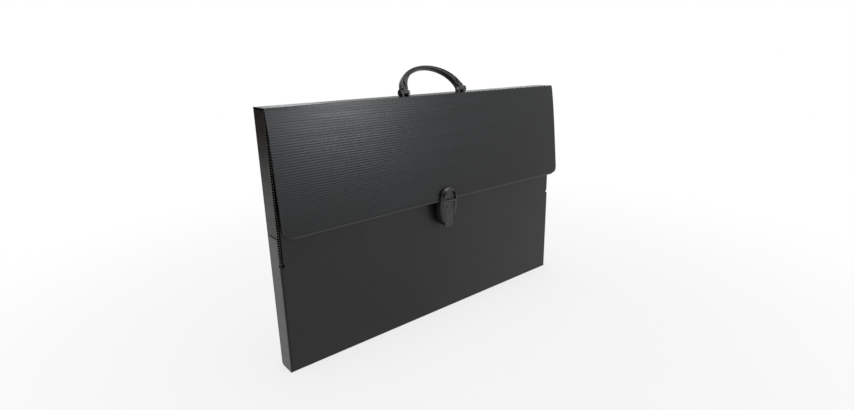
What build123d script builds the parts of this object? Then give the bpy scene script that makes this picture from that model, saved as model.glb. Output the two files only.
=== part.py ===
from build123d import *
import os
from math import cos, floor, radians, sin, sqrt, tan

os.makedirs("parts", exist_ok=True)

# A slim case for drawings, folded from fluted plastic sheet, with a deep front flap, an oval latch
# and a carrying handle. Millimetres. X runs across the front, Y from front to back, Z up, and the
# origin is the centre of the underside.

# Case
CASE_WIDTH = 480.0
CASE_DEPTH = 30.0
CASE_HEIGHT = 312.0
FRONT_HEIGHT = 197.0
SIDE_FLAP_HEIGHT = 168.0
SIDE_FLAP_SETBACK = 6.5
SIDE_FLAP_THICKNESS = 1.0
LID_CLEARANCE = 0.3

# Fluted sheet
SHEET = 2.5
SKIN = 0.35
WEB = 0.35
FLUTE_PITCH = 2.95
FOLD_RADIUS = 2.0
SQUARE_FOLD = 90.0
HINGE_GAP = 0.1

# Slit between the front panel and each outer side
SLIT_BOTTOM = 134.5
SLIT_SETBACK = 1.9
SLIT_WIDTH = 0.5
NOTCH_HEIGHT = 3.7
NOTCH_DEPTH = 1.5

# Closing flap
FLAP_LENGTH = 142.0
FLAP_LEAN = 5.6
FLAP_CORNER_RADIUS = 12.0

# Handle anchors, under the lid with lugs through it
FOOT_SPACING = 97.0
LUG_SPACING = 9.4
LUG_THICKNESS = 2.4
LUG_WIDTH = 6.8
LUG_BORE_CLEARANCE = 0.1
SLOT_CLEARANCE = 0.2
ANCHOR_LENGTH = 24.0
ANCHOR_WIDTH = 16.0
ANCHOR_THICKNESS = 2.0
ANCHOR_CORNER_RADIUS = 2.0
PIVOT_HEIGHT = 4.5
PIVOT_Y = -3.0

# Handle
HANDLE_LEAN = 34.0
GRIP_OUTER_HALF = 53.5
GRIP_OUTER_RISE = 37.0
LEG_THICKNESS = 10.7
GRIP_THICKNESS = 4.2
GRIP_WIDTH = 8.0
GRIP_EDGE_RADIUS = 1.8
LEG_START = 1.5
SHOULDER_HEIGHT = 8.5
SHOULDER_RADIUS = 4.0
KNUCKLE_RADIUS = 4.0
OUTER_KNUCKLE_LENGTH = 3.2
KNUCKLE_CLEARANCE = 0.2
LUG_TOP_CLEARANCE = 0.5
HEEL_GAP = 0.3
HEEL_THICKNESS = 2.4
POCKET_SPACING = 91.0
POCKET_WIDTH = 2.0
POCKET_BOTTOM = 6.0
POCKET_HEIGHT = 9.0
POCKET_DEPTH = 5.5

# Handle pins
HANDLE_PIN_RADIUS = 1.5
PIN_HEAD_RADIUS = 2.5
PIN_HEAD_THICKNESS = 1.2
PIN_END_WALL = 1.5

# Latch body, measured down from the flap's crease and out from a plane that meets the flap's face at
# its free edge and stands off it above
LATCH_TILT = 10.0
LATCH_TOP_RADIUS = 13.5
LATCH_BOTTOM_RADIUS = 8.5
LATCH_SIDE_RADIUS = 55.0
LATCH_TOP_CENTRE = 136.9
LATCH_BOTTOM_CENTRE = 171.6
BODY_BASE = 2.0
BODY_HEIGHT = 5.5
BODY_BEVEL = 2.6
RIM_WIDTH = 1.4
RECESS_FLOOR = 2.6
RECESS_END = 140.2
SKIRT_DEPTH = 8.0
SKIRT_WALL = 2.0
FLAP_EDGE_CLEARANCE = 0.3

# Latch lever and its pin
LEVER_WIDTH = 16.0
LEVER_CLEARANCE = 0.3
LEVER_PIVOT = 147.3
LEVER_HEAD = 2.8
LEVER_GAP = 1.0
LEVER_TIP = 180.7
LEVER_BACK = 1.2
LEVER_FRONT = 5.2
LEVER_EDGE_RADIUS = 0.8
LATCH_PIN_RADIUS = 1.0
LATCH_PIN_CLEARANCE = 0.1
LATCH_PIN_REACH = 3.2
HOOK_TOP = 151.8
HOOK_THICKNESS = 3.0
HOOK_WIDTH = 8.0
HOOK_REACH = 2.5

# Latch screws and backing plate
SCREW_SPACING = 13.3
SCREW_DROP = 133.2
SCREW_RADIUS = 1.5
SCREW_HEAD_RADIUS = 2.3
SCREW_HEAD_HEIGHT = 1.2
SCREW_SINK = 1.5
SCREW_HOLE_CLEARANCE = 0.2
SCREW_TIP = 0.8
FLAP_PLATE_LENGTH = 26.0
FLAP_PLATE_HEIGHT = 10.0
FLAP_PLATE_CORNER_RADIUS = 1.5
PLATE_THICKNESS = 1.3

# Latch keeper on the front panel
KEEPER_WIDTH = 15.0
KEEPER_BOTTOM = 143.0
KEEPER_TOP = 173.0
KEEPER_DEPTH = 5.3
KEEPER_CORNER_RADIUS = 7.0
KEEPER_EDGE_RADIUS = 1.0
KEEPER_SLOT_WIDTH = 10.0
KEEPER_SLOT_BOTTOM = 153.0
KEEPER_SLOT_TOP = 163.3
KEEPER_SLOT_DEPTH = 4.0
KEEPER_SCREW_INSET = 4.5

# Worked out from the sizes above
HALF_SHEET = SHEET / 2
CORE = SHEET - 2 * SKIN
FLUTE_OPENING = FLUTE_PITCH - WEB
FRONT_WIDTH = CASE_WIDTH + 2 * SIDE_FLAP_THICKNESS
FRONT_FACE = -CASE_DEPTH / 2
BACK_FACE = CASE_DEPTH / 2
LID_FOLD = (SQUARE_FOLD, HINGE_GAP)
BODY_FOLD = (SQUARE_FOLD, 0.0)
LID_FRONT_FOLD = (SQUARE_FOLD - FLAP_LEAN, 0.0)
FLAP_FOLD = (SQUARE_FOLD - FLAP_LEAN, HINGE_GAP)

LEAN_SIN = sin(radians(FLAP_LEAN))
LEAN_COS = cos(radians(FLAP_LEAN))
FLAP_OUT = Vector(0, -LEAN_COS, LEAN_SIN)
FLAP_UP = Vector(0, LEAN_SIN, LEAN_COS)
FLAP_CREASE = Vector(0, FRONT_FACE, CASE_HEIGHT)
FLAP_PLANE = Plane(origin=FLAP_CREASE, x_dir=(1, 0, 0), z_dir=FLAP_OUT)

TILT_SIN = sin(radians(FLAP_LEAN - LATCH_TILT))
TILT_COS = cos(radians(FLAP_LEAN - LATCH_TILT))
LATCH_OUT = Vector(0, -TILT_COS, TILT_SIN)
LATCH_UP = Vector(0, TILT_SIN, TILT_COS)
LATCH_TOE = FLAP_LENGTH + FLAP_EDGE_CLEARANCE
LATCH_START = FLAP_CREASE + (LATCH_UP - FLAP_UP) * LATCH_TOE
LATCH_PLANE = Plane(origin=LATCH_START, x_dir=(1, 0, 0), z_dir=LATCH_OUT)

PIVOT_Z = CASE_HEIGHT + PIVOT_HEIGHT
HANDLE_SIN = sin(radians(HANDLE_LEAN))
HANDLE_COS = cos(radians(HANDLE_LEAN))
HANDLE_OUT = Vector(0, -HANDLE_COS, HANDLE_SIN)
HANDLE_PLANE = Plane(origin=(0, PIVOT_Y, PIVOT_Z), x_dir=(1, 0, 0), z_dir=HANDLE_OUT)
FOOT_X = FOOT_SPACING / 2
INNER_LUG_X = FOOT_X - LUG_SPACING / 2
OUTER_LUG_X = FOOT_X + LUG_SPACING / 2
LUG_RADIUS = LUG_WIDTH / 2
HALF_LUG = LUG_THICKNESS / 2


def sheet_end(length, fold, thickness):
    """Points round the end of a sheet's section: square, or rounded and mitred for a fold."""
    face = thickness / 2
    if fold is None:
        return [(face, length / 2), (-face, length / 2)]
    turn, gap = fold
    half = radians(turn) / 2
    tangent_y = length / 2 - FOLD_RADIUS * tan(half)
    centre_x = face - FOLD_RADIUS
    start = (face, tangent_y)
    middle = (centre_x + FOLD_RADIUS * cos(half / 2), tangent_y + FOLD_RADIUS * sin(half / 2))
    nose = (centre_x + FOLD_RADIUS * cos(half), tangent_y + FOLD_RADIUS * sin(half))
    inner = (-face, length / 2 - thickness * tan(half) - gap / cos(half))
    return [start, middle, nose, inner]


def sheet_outline(length, low_fold, high_fold, thickness=SHEET):
    """Draw a sheet's section, with x pointing out of the case and y running up the sheet."""
    high = sheet_end(length, high_fold, thickness)
    low = [(x, -y) for x, y in sheet_end(length, low_fold, thickness)]
    with BuildLine() as outline:
        for end, fold in ((high, high_fold), (low, low_fold)):
            if fold is not None:
                ThreePointArc(end[0], end[1], end[2])
            Line(end[-2], end[-1])
        Line(low[0], high[0])
        Line(low[-1], high[-1])
    make_face(outline.edges())


def fluted_section(length, low_fold, high_fold):
    """Draw a sheet's section with its row of flutes left open."""
    sheet_outline(length, low_fold, high_fold)
    count = floor((length - 2 * SHEET) / FLUTE_PITCH)
    with GridLocations(0, FLUTE_PITCH, 1, count):
        Rectangle(CORE, FLUTE_OPENING, mode=Mode.SUBTRACT)


def oval_outline(inset, mode=Mode.ADD):
    """Draw the latch's egg shape, the same distance inside its outer edge all round."""
    top = Vector(0, -LATCH_TOP_CENTRE)
    bottom = Vector(0, -LATCH_BOTTOM_CENTRE)
    to_top = LATCH_SIDE_RADIUS - LATCH_TOP_RADIUS
    to_bottom = LATCH_SIDE_RADIUS - LATCH_BOTTOM_RADIUS
    apart = LATCH_BOTTOM_CENTRE - LATCH_TOP_CENTRE
    drop = (to_top**2 - to_bottom**2 + apart**2) / (2 * apart)
    side = Vector(-sqrt(to_top**2 - drop**2), top.Y - drop)
    high = top + (top - side).normalized() * (LATCH_TOP_RADIUS - inset)
    low = bottom + (bottom - side).normalized() * (LATCH_BOTTOM_RADIUS - inset)
    widest = side + Vector(LATCH_SIDE_RADIUS - inset, 0)
    with BuildLine() as outline:
        ThreePointArc((-high.X, high.Y), (0, top.Y + LATCH_TOP_RADIUS - inset), (high.X, high.Y))
        ThreePointArc((high.X, high.Y), (widest.X, widest.Y), (low.X, low.Y))
        ThreePointArc((low.X, low.Y), (0, bottom.Y - LATCH_BOTTOM_RADIUS + inset), (-low.X, low.Y))
        ThreePointArc((-low.X, low.Y), (-widest.X, widest.Y), (-high.X, high.Y))
    make_face(outline.edges(), mode=mode)


# Back panel, with its flutes across the case and its four edges folded
back_section = Plane(
    origin=(-CASE_WIDTH / 2, BACK_FACE - HALF_SHEET, CASE_HEIGHT / 2),
    x_dir=(0, 1, 0),
    z_dir=(1, 0, 0),
)
with BuildPart() as back_panel:
    with BuildSketch(back_section):
        fluted_section(CASE_HEIGHT, BODY_FOLD, BODY_FOLD)
    extrude(amount=CASE_WIDTH)
    with BuildSketch(Plane(origin=(0, BACK_FACE - HALF_SHEET, 0), x_dir=(0, 1, 0), z_dir=(0, 0, 1))):
        sheet_outline(CASE_WIDTH, BODY_FOLD, BODY_FOLD)
    extrude(amount=CASE_HEIGHT, mode=Mode.INTERSECT)
back_panel.part.label = "back_panel"
export_step(back_panel.part, "parts/back_panel.step")

# Bottom panel
bottom_section = Plane(
    origin=(-CASE_WIDTH / 2, 0, HALF_SHEET),
    x_dir=(0, 0, -1),
    z_dir=(1, 0, 0),
)
with BuildPart() as bottom_panel:
    with BuildSketch(bottom_section):
        fluted_section(CASE_DEPTH, BODY_FOLD, BODY_FOLD)
    extrude(amount=CASE_WIDTH)
bottom_panel.part.label = "bottom_panel"
export_step(bottom_panel.part, "parts/bottom_panel.step")

# Front panel, folded to the sides below the slits and cut free above them, with the keeper's holes
KEEPER_MIDDLE = (KEEPER_TOP + KEEPER_BOTTOM) / 2
KEEPER_SCREW_REACH = (KEEPER_TOP - KEEPER_BOTTOM) / 2 - KEEPER_SCREW_INSET
KEEPER_FACE = Plane(origin=(0, FRONT_FACE, KEEPER_MIDDLE), x_dir=(1, 0, 0), z_dir=(0, -1, 0))
SCREW_HOLE_RADIUS = SCREW_RADIUS + SCREW_HOLE_CLEARANCE
KEEPER_SCREW_PLACES = [(0, KEEPER_SCREW_REACH), (0, -KEEPER_SCREW_REACH)]
FREE_EDGE_X = CASE_WIDTH / 2 - SHEET - SLIT_WIDTH
front_section = Plane(
    origin=(FRONT_WIDTH / 2, FRONT_FACE + HALF_SHEET, FRONT_HEIGHT / 2),
    x_dir=(0, -1, 0),
    z_dir=(-1, 0, 0),
)
with BuildPart() as front_panel:
    with BuildSketch(front_section):
        fluted_section(FRONT_HEIGHT, BODY_FOLD, None)
    extrude(amount=FRONT_WIDTH)
    with BuildSketch(Plane(origin=(0, FRONT_FACE + HALF_SHEET, 0), x_dir=(0, -1, 0), z_dir=(0, 0, 1))):
        sheet_outline(FRONT_WIDTH, BODY_FOLD, BODY_FOLD)
    extrude(amount=FRONT_HEIGHT, mode=Mode.INTERSECT)
    for side in (-1, 1):
        with BuildSketch(Plane(origin=(0, FRONT_FACE, 0), x_dir=(1, 0, 0), z_dir=(0, -1, 0))):
            with BuildLine():
                Polyline(
                    (side * FRONT_WIDTH, SLIT_BOTTOM),
                    (side * (FREE_EDGE_X - NOTCH_DEPTH), SLIT_BOTTOM),
                    (side * (FREE_EDGE_X - NOTCH_DEPTH), SLIT_BOTTOM + NOTCH_HEIGHT),
                    (side * FREE_EDGE_X, SLIT_BOTTOM + NOTCH_HEIGHT),
                    (side * FREE_EDGE_X, FRONT_HEIGHT + SHEET),
                    (side * FRONT_WIDTH, FRONT_HEIGHT + SHEET),
                    close=True,
                )
            make_face()
        extrude(amount=SHEET, both=True, mode=Mode.SUBTRACT)
    with BuildSketch(KEEPER_FACE):
        with Locations(*KEEPER_SCREW_PLACES):
            Circle(SCREW_HOLE_RADIUS)
    extrude(amount=-SHEET, mode=Mode.SUBTRACT)
front_panel.part.label = "front_panel"
export_step(front_panel.part, "parts/front_panel.step")

# Inner sides, folded forward from the back panel, with their open flutes facing front
INNER_SIDE_HEIGHT = CASE_HEIGHT - 2 * SHEET - LID_CLEARANCE
INNER_SIDE_DEPTH = CASE_DEPTH - SHEET
INNER_SIDE_X = CASE_WIDTH / 2 - HALF_SHEET
with BuildPart() as left_inner_side:
    with BuildSketch(
        Plane(
            origin=(-INNER_SIDE_X, BACK_FACE, SHEET + INNER_SIDE_HEIGHT / 2),
            x_dir=(-1, 0, 0),
            z_dir=(0, 1, 0),
        )
    ):
        fluted_section(INNER_SIDE_HEIGHT, None, None)
    extrude(amount=-INNER_SIDE_DEPTH)
    with BuildSketch(
        Plane(
            origin=(-INNER_SIDE_X, BACK_FACE - INNER_SIDE_DEPTH / 2, 0),
            x_dir=(-1, 0, 0),
            z_dir=(0, 0, -1),
        )
    ):
        sheet_outline(INNER_SIDE_DEPTH, None, BODY_FOLD)
    extrude(amount=-CASE_HEIGHT, mode=Mode.INTERSECT)
left_inner_side.part.label = "left_inner_side"
export_step(left_inner_side.part, "parts/left_inner_side.step")

with BuildPart() as right_inner_side:
    mirror(left_inner_side.part, about=Plane.YZ)
right_inner_side.part.label = "right_inner_side"
export_step(right_inner_side.part, "parts/right_inner_side.step")

# Outer sides, pressed flat, folded back from the front panel and glued on, and slit free of it near
# their tops
OUTER_SIDE_DEPTH = CASE_DEPTH - SIDE_FLAP_SETBACK
OUTER_SIDE_X = (CASE_WIDTH + SIDE_FLAP_THICKNESS) / 2
with BuildPart() as left_outer_side:
    with BuildSketch(
        Plane(
            origin=(-OUTER_SIDE_X, FRONT_FACE + OUTER_SIDE_DEPTH / 2, 0),
            x_dir=(-1, 0, 0),
            z_dir=(0, 0, -1),
        )
    ):
        sheet_outline(OUTER_SIDE_DEPTH, BODY_FOLD, None, SIDE_FLAP_THICKNESS)
    extrude(amount=-SIDE_FLAP_HEIGHT)
    with BuildSketch(Plane(origin=(-OUTER_SIDE_X, 0, 0), x_dir=(0, 1, 0), z_dir=(1, 0, 0))):
        with BuildLine():
            Polyline(
                (FRONT_FACE - SHEET, SLIT_BOTTOM),
                (FRONT_FACE + SHEET + NOTCH_DEPTH, SLIT_BOTTOM),
                (FRONT_FACE + SHEET + NOTCH_DEPTH, SLIT_BOTTOM + NOTCH_HEIGHT),
                (FRONT_FACE + SLIT_SETBACK, SLIT_BOTTOM + NOTCH_HEIGHT),
                (FRONT_FACE + SLIT_SETBACK, SIDE_FLAP_HEIGHT + SHEET),
                (FRONT_FACE - SHEET, SIDE_FLAP_HEIGHT + SHEET),
                close=True,
            )
        make_face()
    extrude(amount=SHEET, both=True, mode=Mode.SUBTRACT)
left_outer_side.part.label = "left_outer_side"
export_step(left_outer_side.part, "parts/left_outer_side.step")

with BuildPart() as right_outer_side:
    mirror(left_outer_side.part, about=Plane.YZ)
right_outer_side.part.label = "right_outer_side"
export_step(right_outer_side.part, "parts/right_outer_side.step")

# Lid, with four slots for the handle's lugs
LUG_PLACES = [(side * x, PIVOT_Y) for side in (-1, 1) for x in (INNER_LUG_X, OUTER_LUG_X)]
lid_section = Plane(
    origin=(-CASE_WIDTH / 2, 0, CASE_HEIGHT - HALF_SHEET),
    x_dir=(0, 0, 1),
    z_dir=(1, 0, 0),
)
with BuildPart() as top_panel:
    with BuildSketch(lid_section):
        fluted_section(CASE_DEPTH, LID_FOLD, LID_FRONT_FOLD)
    extrude(amount=CASE_WIDTH)
    with BuildSketch(Plane.XY.offset(CASE_HEIGHT)):
        with Locations(*LUG_PLACES):
            Rectangle(LUG_THICKNESS + 2 * SLOT_CLEARANCE, LUG_WIDTH + 2 * SLOT_CLEARANCE)
    extrude(amount=-SHEET, mode=Mode.SUBTRACT)
top_panel.part.label = "top_panel"
export_step(top_panel.part, "parts/top_panel.step")

# Handle anchors: a plate under the lid with two upright lugs, bored for the pin
ANCHOR_TOP = CASE_HEIGHT - SHEET
with BuildPart() as handle_anchor_right:
    with BuildSketch(Plane.XY.offset(ANCHOR_TOP)):
        with Locations((FOOT_X, PIVOT_Y)):
            RectangleRounded(ANCHOR_LENGTH, ANCHOR_WIDTH, ANCHOR_CORNER_RADIUS)
    extrude(amount=-ANCHOR_THICKNESS)
    for lug_x in (INNER_LUG_X, OUTER_LUG_X):
        with BuildSketch(Plane(origin=(lug_x, PIVOT_Y, PIVOT_Z), x_dir=(0, 1, 0), z_dir=(1, 0, 0))):
            Circle(LUG_RADIUS)
            with Locations((0, (ANCHOR_TOP - PIVOT_Z) / 2)):
                Rectangle(LUG_WIDTH, PIVOT_Z - ANCHOR_TOP)
            Circle(HANDLE_PIN_RADIUS + LUG_BORE_CLEARANCE, mode=Mode.SUBTRACT)
        extrude(amount=HALF_LUG, both=True)
handle_anchor_right.part.label = "handle_anchor_right"
export_step(handle_anchor_right.part, "parts/handle_anchor_right.step")

with BuildPart() as handle_anchor_left:
    mirror(handle_anchor_right.part, about=Plane.YZ)
handle_anchor_left.part.label = "handle_anchor_left"
export_step(handle_anchor_left.part, "parts/handle_anchor_left.step")

# Handle grip: a flat arch whose legs end in two knuckles each under a round shoulder, with a moulded
# pocket up the front of each leg and a heel behind that rests on the lid when the handle leans back
GRIP_INNER_HALF = GRIP_OUTER_HALF - LEG_THICKNESS
GRIP_INNER_RISE = GRIP_OUTER_RISE - GRIP_THICKNESS
INNER_KNUCKLE_START = INNER_LUG_X + HALF_LUG + KNUCKLE_CLEARANCE
INNER_KNUCKLE_END = OUTER_LUG_X - HALF_LUG - KNUCKLE_CLEARANCE
OUTER_KNUCKLE_START = OUTER_LUG_X + HALF_LUG + KNUCKLE_CLEARANCE
OUTER_KNUCKLE_END = OUTER_KNUCKLE_START + OUTER_KNUCKLE_LENGTH
LUG_ROOM = LUG_RADIUS + LUG_TOP_CLEARANCE
HALF_GRIP_WIDTH = GRIP_WIDTH / 2
HEEL_DROP = (PIVOT_HEIGHT - HEEL_GAP - HALF_GRIP_WIDTH * HANDLE_SIN) / HANDLE_COS
PIN_START = INNER_LUG_X - HALF_LUG - KNUCKLE_CLEARANCE
PIN_END = OUTER_KNUCKLE_END - PIN_END_WALL
POCKET_MIDDLE = POCKET_BOTTOM + POCKET_HEIGHT / 2
SHOULDER_WIDTH = OUTER_KNUCKLE_END - INNER_KNUCKLE_START
SHOULDER_X = (OUTER_KNUCKLE_END + INNER_KNUCKLE_START) / 2
with BuildPart() as handle_grip:
    with BuildSketch(HANDLE_PLANE):
        with BuildLine():
            EllipticalCenterArc((0, 0), GRIP_OUTER_HALF, GRIP_OUTER_RISE, 0, arc_size=180)
            EllipticalCenterArc((0, 0), GRIP_INNER_HALF, GRIP_INNER_RISE, 0, arc_size=180)
            Line((GRIP_INNER_HALF, 0), (GRIP_OUTER_HALF, 0))
            Line((-GRIP_OUTER_HALF, 0), (-GRIP_INNER_HALF, 0))
        make_face()
        with Locations((0, LEG_START / 2)):
            Rectangle(2 * GRIP_OUTER_HALF, LEG_START, mode=Mode.SUBTRACT)
    extrude(amount=HALF_GRIP_WIDTH, both=True)
    fillet(handle_grip.edges().filter_by(GeomType.ELLIPSE), radius=GRIP_EDGE_RADIUS)
    with BuildSketch(HANDLE_PLANE) as shoulders:
        with Locations((-SHOULDER_X, SHOULDER_HEIGHT / 2), (SHOULDER_X, SHOULDER_HEIGHT / 2)):
            Rectangle(SHOULDER_WIDTH, SHOULDER_HEIGHT)
        fillet(shoulders.vertices().group_by(Axis.Y)[-1], radius=SHOULDER_RADIUS)
    extrude(amount=HALF_GRIP_WIDTH, both=True)
    with BuildSketch(HANDLE_PLANE.offset(HALF_GRIP_WIDTH)):
        with Locations((-POCKET_SPACING / 2, POCKET_MIDDLE), (POCKET_SPACING / 2, POCKET_MIDDLE)):
            SlotOverall(POCKET_HEIGHT, POCKET_WIDTH, rotation=90)
    extrude(amount=-POCKET_DEPTH, mode=Mode.SUBTRACT)
    for side in (-1, 1):
        for start, end in (
            (INNER_KNUCKLE_START, INNER_KNUCKLE_END),
            (OUTER_KNUCKLE_START, OUTER_KNUCKLE_END),
        ):
            with BuildSketch(
                Plane(origin=(side * start, PIVOT_Y, PIVOT_Z), x_dir=HANDLE_OUT, z_dir=(side, 0, 0))
            ):
                Circle(KNUCKLE_RADIUS)
            extrude(amount=end - start)
        with BuildSketch(
            Plane(
                origin=(side * INNER_KNUCKLE_END, PIVOT_Y, PIVOT_Z),
                x_dir=HANDLE_OUT,
                z_dir=(-1, 0, 0),
            )
        ):
            with Locations((-HALF_GRIP_WIDTH + HEEL_THICKNESS / 2, (LUG_ROOM - HEEL_DROP) / 2)):
                Rectangle(HEEL_THICKNESS, LUG_ROOM + HEEL_DROP)
        extrude(amount=side * (INNER_KNUCKLE_END - INNER_KNUCKLE_START))
        with BuildSketch(HANDLE_PLANE):
            for lug_x in (INNER_LUG_X, OUTER_LUG_X):
                with Locations((side * lug_x, LUG_ROOM - HALF_GRIP_WIDTH)):
                    Rectangle(LUG_THICKNESS + 2 * KNUCKLE_CLEARANCE, GRIP_WIDTH)
        extrude(amount=GRIP_WIDTH, both=True, mode=Mode.SUBTRACT)
        with BuildSketch(Plane(origin=(0, PIVOT_Y, PIVOT_Z), x_dir=(0, 1, 0), z_dir=(side, 0, 0))):
            Circle(HANDLE_PIN_RADIUS)
        extrude(amount=PIN_END, mode=Mode.SUBTRACT)
handle_grip.part.label = "handle_grip"
export_step(handle_grip.part, "parts/handle_grip.step")

# Handle pins, headed at their inner ends
with BuildPart() as handle_pin_right:
    with BuildSketch(Plane.YZ.offset(PIN_START)):
        with Locations((PIVOT_Y, PIVOT_Z)):
            Circle(HANDLE_PIN_RADIUS)
    extrude(amount=PIN_END - PIN_START)
    with BuildSketch(Plane.YZ.offset(PIN_START)):
        with Locations((PIVOT_Y, PIVOT_Z)):
            Circle(PIN_HEAD_RADIUS)
    extrude(amount=-PIN_HEAD_THICKNESS)
handle_pin_right.part.label = "handle_pin_right"
export_step(handle_pin_right.part, "parts/handle_pin_right.step")

with BuildPart() as handle_pin_left:
    mirror(handle_pin_right.part, about=Plane.YZ)
handle_pin_left.part.label = "handle_pin_left"
export_step(handle_pin_left.part, "parts/handle_pin_left.step")

# Closing flap, with its free corners rounded
flap_section = Plane(
    origin=FLAP_CREASE + Vector(CASE_WIDTH / 2, 0, 0) - FLAP_UP * (FLAP_LENGTH / 2) - FLAP_OUT * HALF_SHEET,
    x_dir=FLAP_OUT,
    z_dir=(-1, 0, 0),
)
SCREW_PLACES = [(-SCREW_SPACING / 2, -SCREW_DROP), (SCREW_SPACING / 2, -SCREW_DROP)]
with BuildPart() as closing_flap:
    with BuildSketch(flap_section):
        fluted_section(FLAP_LENGTH, None, FLAP_FOLD)
    extrude(amount=CASE_WIDTH)
    with BuildSketch(FLAP_PLANE) as flap_outline:
        with Locations((0, -FLAP_LENGTH / 2)):
            Rectangle(CASE_WIDTH, FLAP_LENGTH)
        fillet(flap_outline.vertices().group_by(Axis.Y)[0], radius=FLAP_CORNER_RADIUS)
    extrude(amount=SHEET, both=True, mode=Mode.INTERSECT)
    with BuildSketch(FLAP_PLANE):
        with Locations(*SCREW_PLACES):
            Circle(SCREW_HOLE_RADIUS)
    extrude(amount=-SHEET, mode=Mode.SUBTRACT)
closing_flap.part.label = "closing_flap"
export_step(closing_flap.part, "parts/closing_flap.step")

# Latch body: an oval shell with a bevelled rim, a wedge that seats it on the flap, a recess for the
# screws, a window for the lever and a skirt that hangs behind the flap's edge
RIM_INSET = BODY_BEVEL + RIM_WIDTH
LEVER_TOP = LEVER_PIVOT - LEVER_HEAD
WINDOW_TOP = LEVER_TOP - LEVER_GAP
WINDOW_HALF = LEVER_WIDTH / 2 + LEVER_CLEARANCE
LATCH_LENGTH = LATCH_BOTTOM_CENTRE + LATCH_BOTTOM_RADIUS
PIN_OUT = (LEVER_BACK + LEVER_FRONT) / 2
PIN_HALF = WINDOW_HALF + LATCH_PIN_REACH
STAND_OFF = (LATCH_TOE - SCREW_DROP) * tan(radians(LATCH_TILT))
SCREW_SEAT = RECESS_FLOOR + STAND_OFF - SCREW_SINK
LATCH_PIN_PLANE = Plane(
    origin=LATCH_START - LATCH_UP * LEVER_PIVOT + LATCH_OUT * PIN_OUT,
    x_dir=LATCH_UP,
    z_dir=(1, 0, 0),
)
with BuildPart() as latch_body:
    with BuildSketch(LATCH_PLANE):
        oval_outline(0)
    extrude(amount=BODY_BASE)
    with BuildSketch(LATCH_PLANE.offset(BODY_BASE)):
        oval_outline(0)
    with BuildSketch(LATCH_PLANE.offset(BODY_HEIGHT)):
        oval_outline(BODY_BEVEL)
    loft(ruled=True)
    with BuildSketch(LATCH_PLANE):
        oval_outline(0)
        with Locations((0, -LATCH_TOE)):
            Rectangle(CASE_WIDTH, LATCH_LENGTH, align=(Align.CENTER, Align.MAX), mode=Mode.SUBTRACT)
    extrude(amount=-BODY_HEIGHT)
    with BuildSketch(LATCH_PLANE):
        oval_outline(0)
        oval_outline(SKIRT_WALL, mode=Mode.SUBTRACT)
        with Locations((0, -LATCH_TOE)):
            Rectangle(CASE_WIDTH, LATCH_LENGTH, align=(Align.CENTER, Align.MIN), mode=Mode.SUBTRACT)
    extrude(amount=-SKIRT_DEPTH)
    with BuildSketch(FLAP_PLANE):
        with Locations((0, -LATCH_TOE)):
            Rectangle(CASE_WIDTH, LATCH_LENGTH, align=(Align.CENTER, Align.MIN))
    extrude(amount=-LATCH_LENGTH, mode=Mode.SUBTRACT)
    with BuildSketch(LATCH_PLANE.offset(RECESS_FLOOR)):
        oval_outline(RIM_INSET)
        with Locations((0, -RECESS_END)):
            Rectangle(CASE_WIDTH, LATCH_LENGTH, align=(Align.CENTER, Align.MAX), mode=Mode.SUBTRACT)
    extrude(amount=BODY_HEIGHT, mode=Mode.SUBTRACT)
    with BuildSketch(LATCH_PLANE):
        with Locations((0, -WINDOW_TOP)):
            Rectangle(2 * WINDOW_HALF, LATCH_LENGTH, align=(Align.CENTER, Align.MAX))
    extrude(amount=BODY_HEIGHT, mode=Mode.SUBTRACT)
    with BuildSketch(FLAP_PLANE.offset(SCREW_SEAT)):
        with Locations(*SCREW_PLACES):
            Circle(SCREW_HEAD_RADIUS + SCREW_HOLE_CLEARANCE)
    extrude(amount=BODY_HEIGHT, mode=Mode.SUBTRACT)
    with BuildSketch(FLAP_PLANE):
        with Locations(*SCREW_PLACES):
            Circle(SCREW_HOLE_RADIUS)
    extrude(amount=BODY_HEIGHT, mode=Mode.SUBTRACT)
    with BuildSketch(LATCH_PIN_PLANE):
        Circle(LATCH_PIN_RADIUS)
    extrude(amount=PIN_HALF, both=True, mode=Mode.SUBTRACT)
latch_body.part.label = "latch_body"
export_step(latch_body.part, "parts/latch_body.step")

# Latch pin, seated in the body at both ends
with BuildPart() as latch_pin:
    with BuildSketch(LATCH_PIN_PLANE):
        Circle(LATCH_PIN_RADIUS)
    extrude(amount=PIN_HALF, both=True)
latch_pin.part.label = "latch_pin"
export_step(latch_pin.part, "parts/latch_pin.step")

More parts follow.
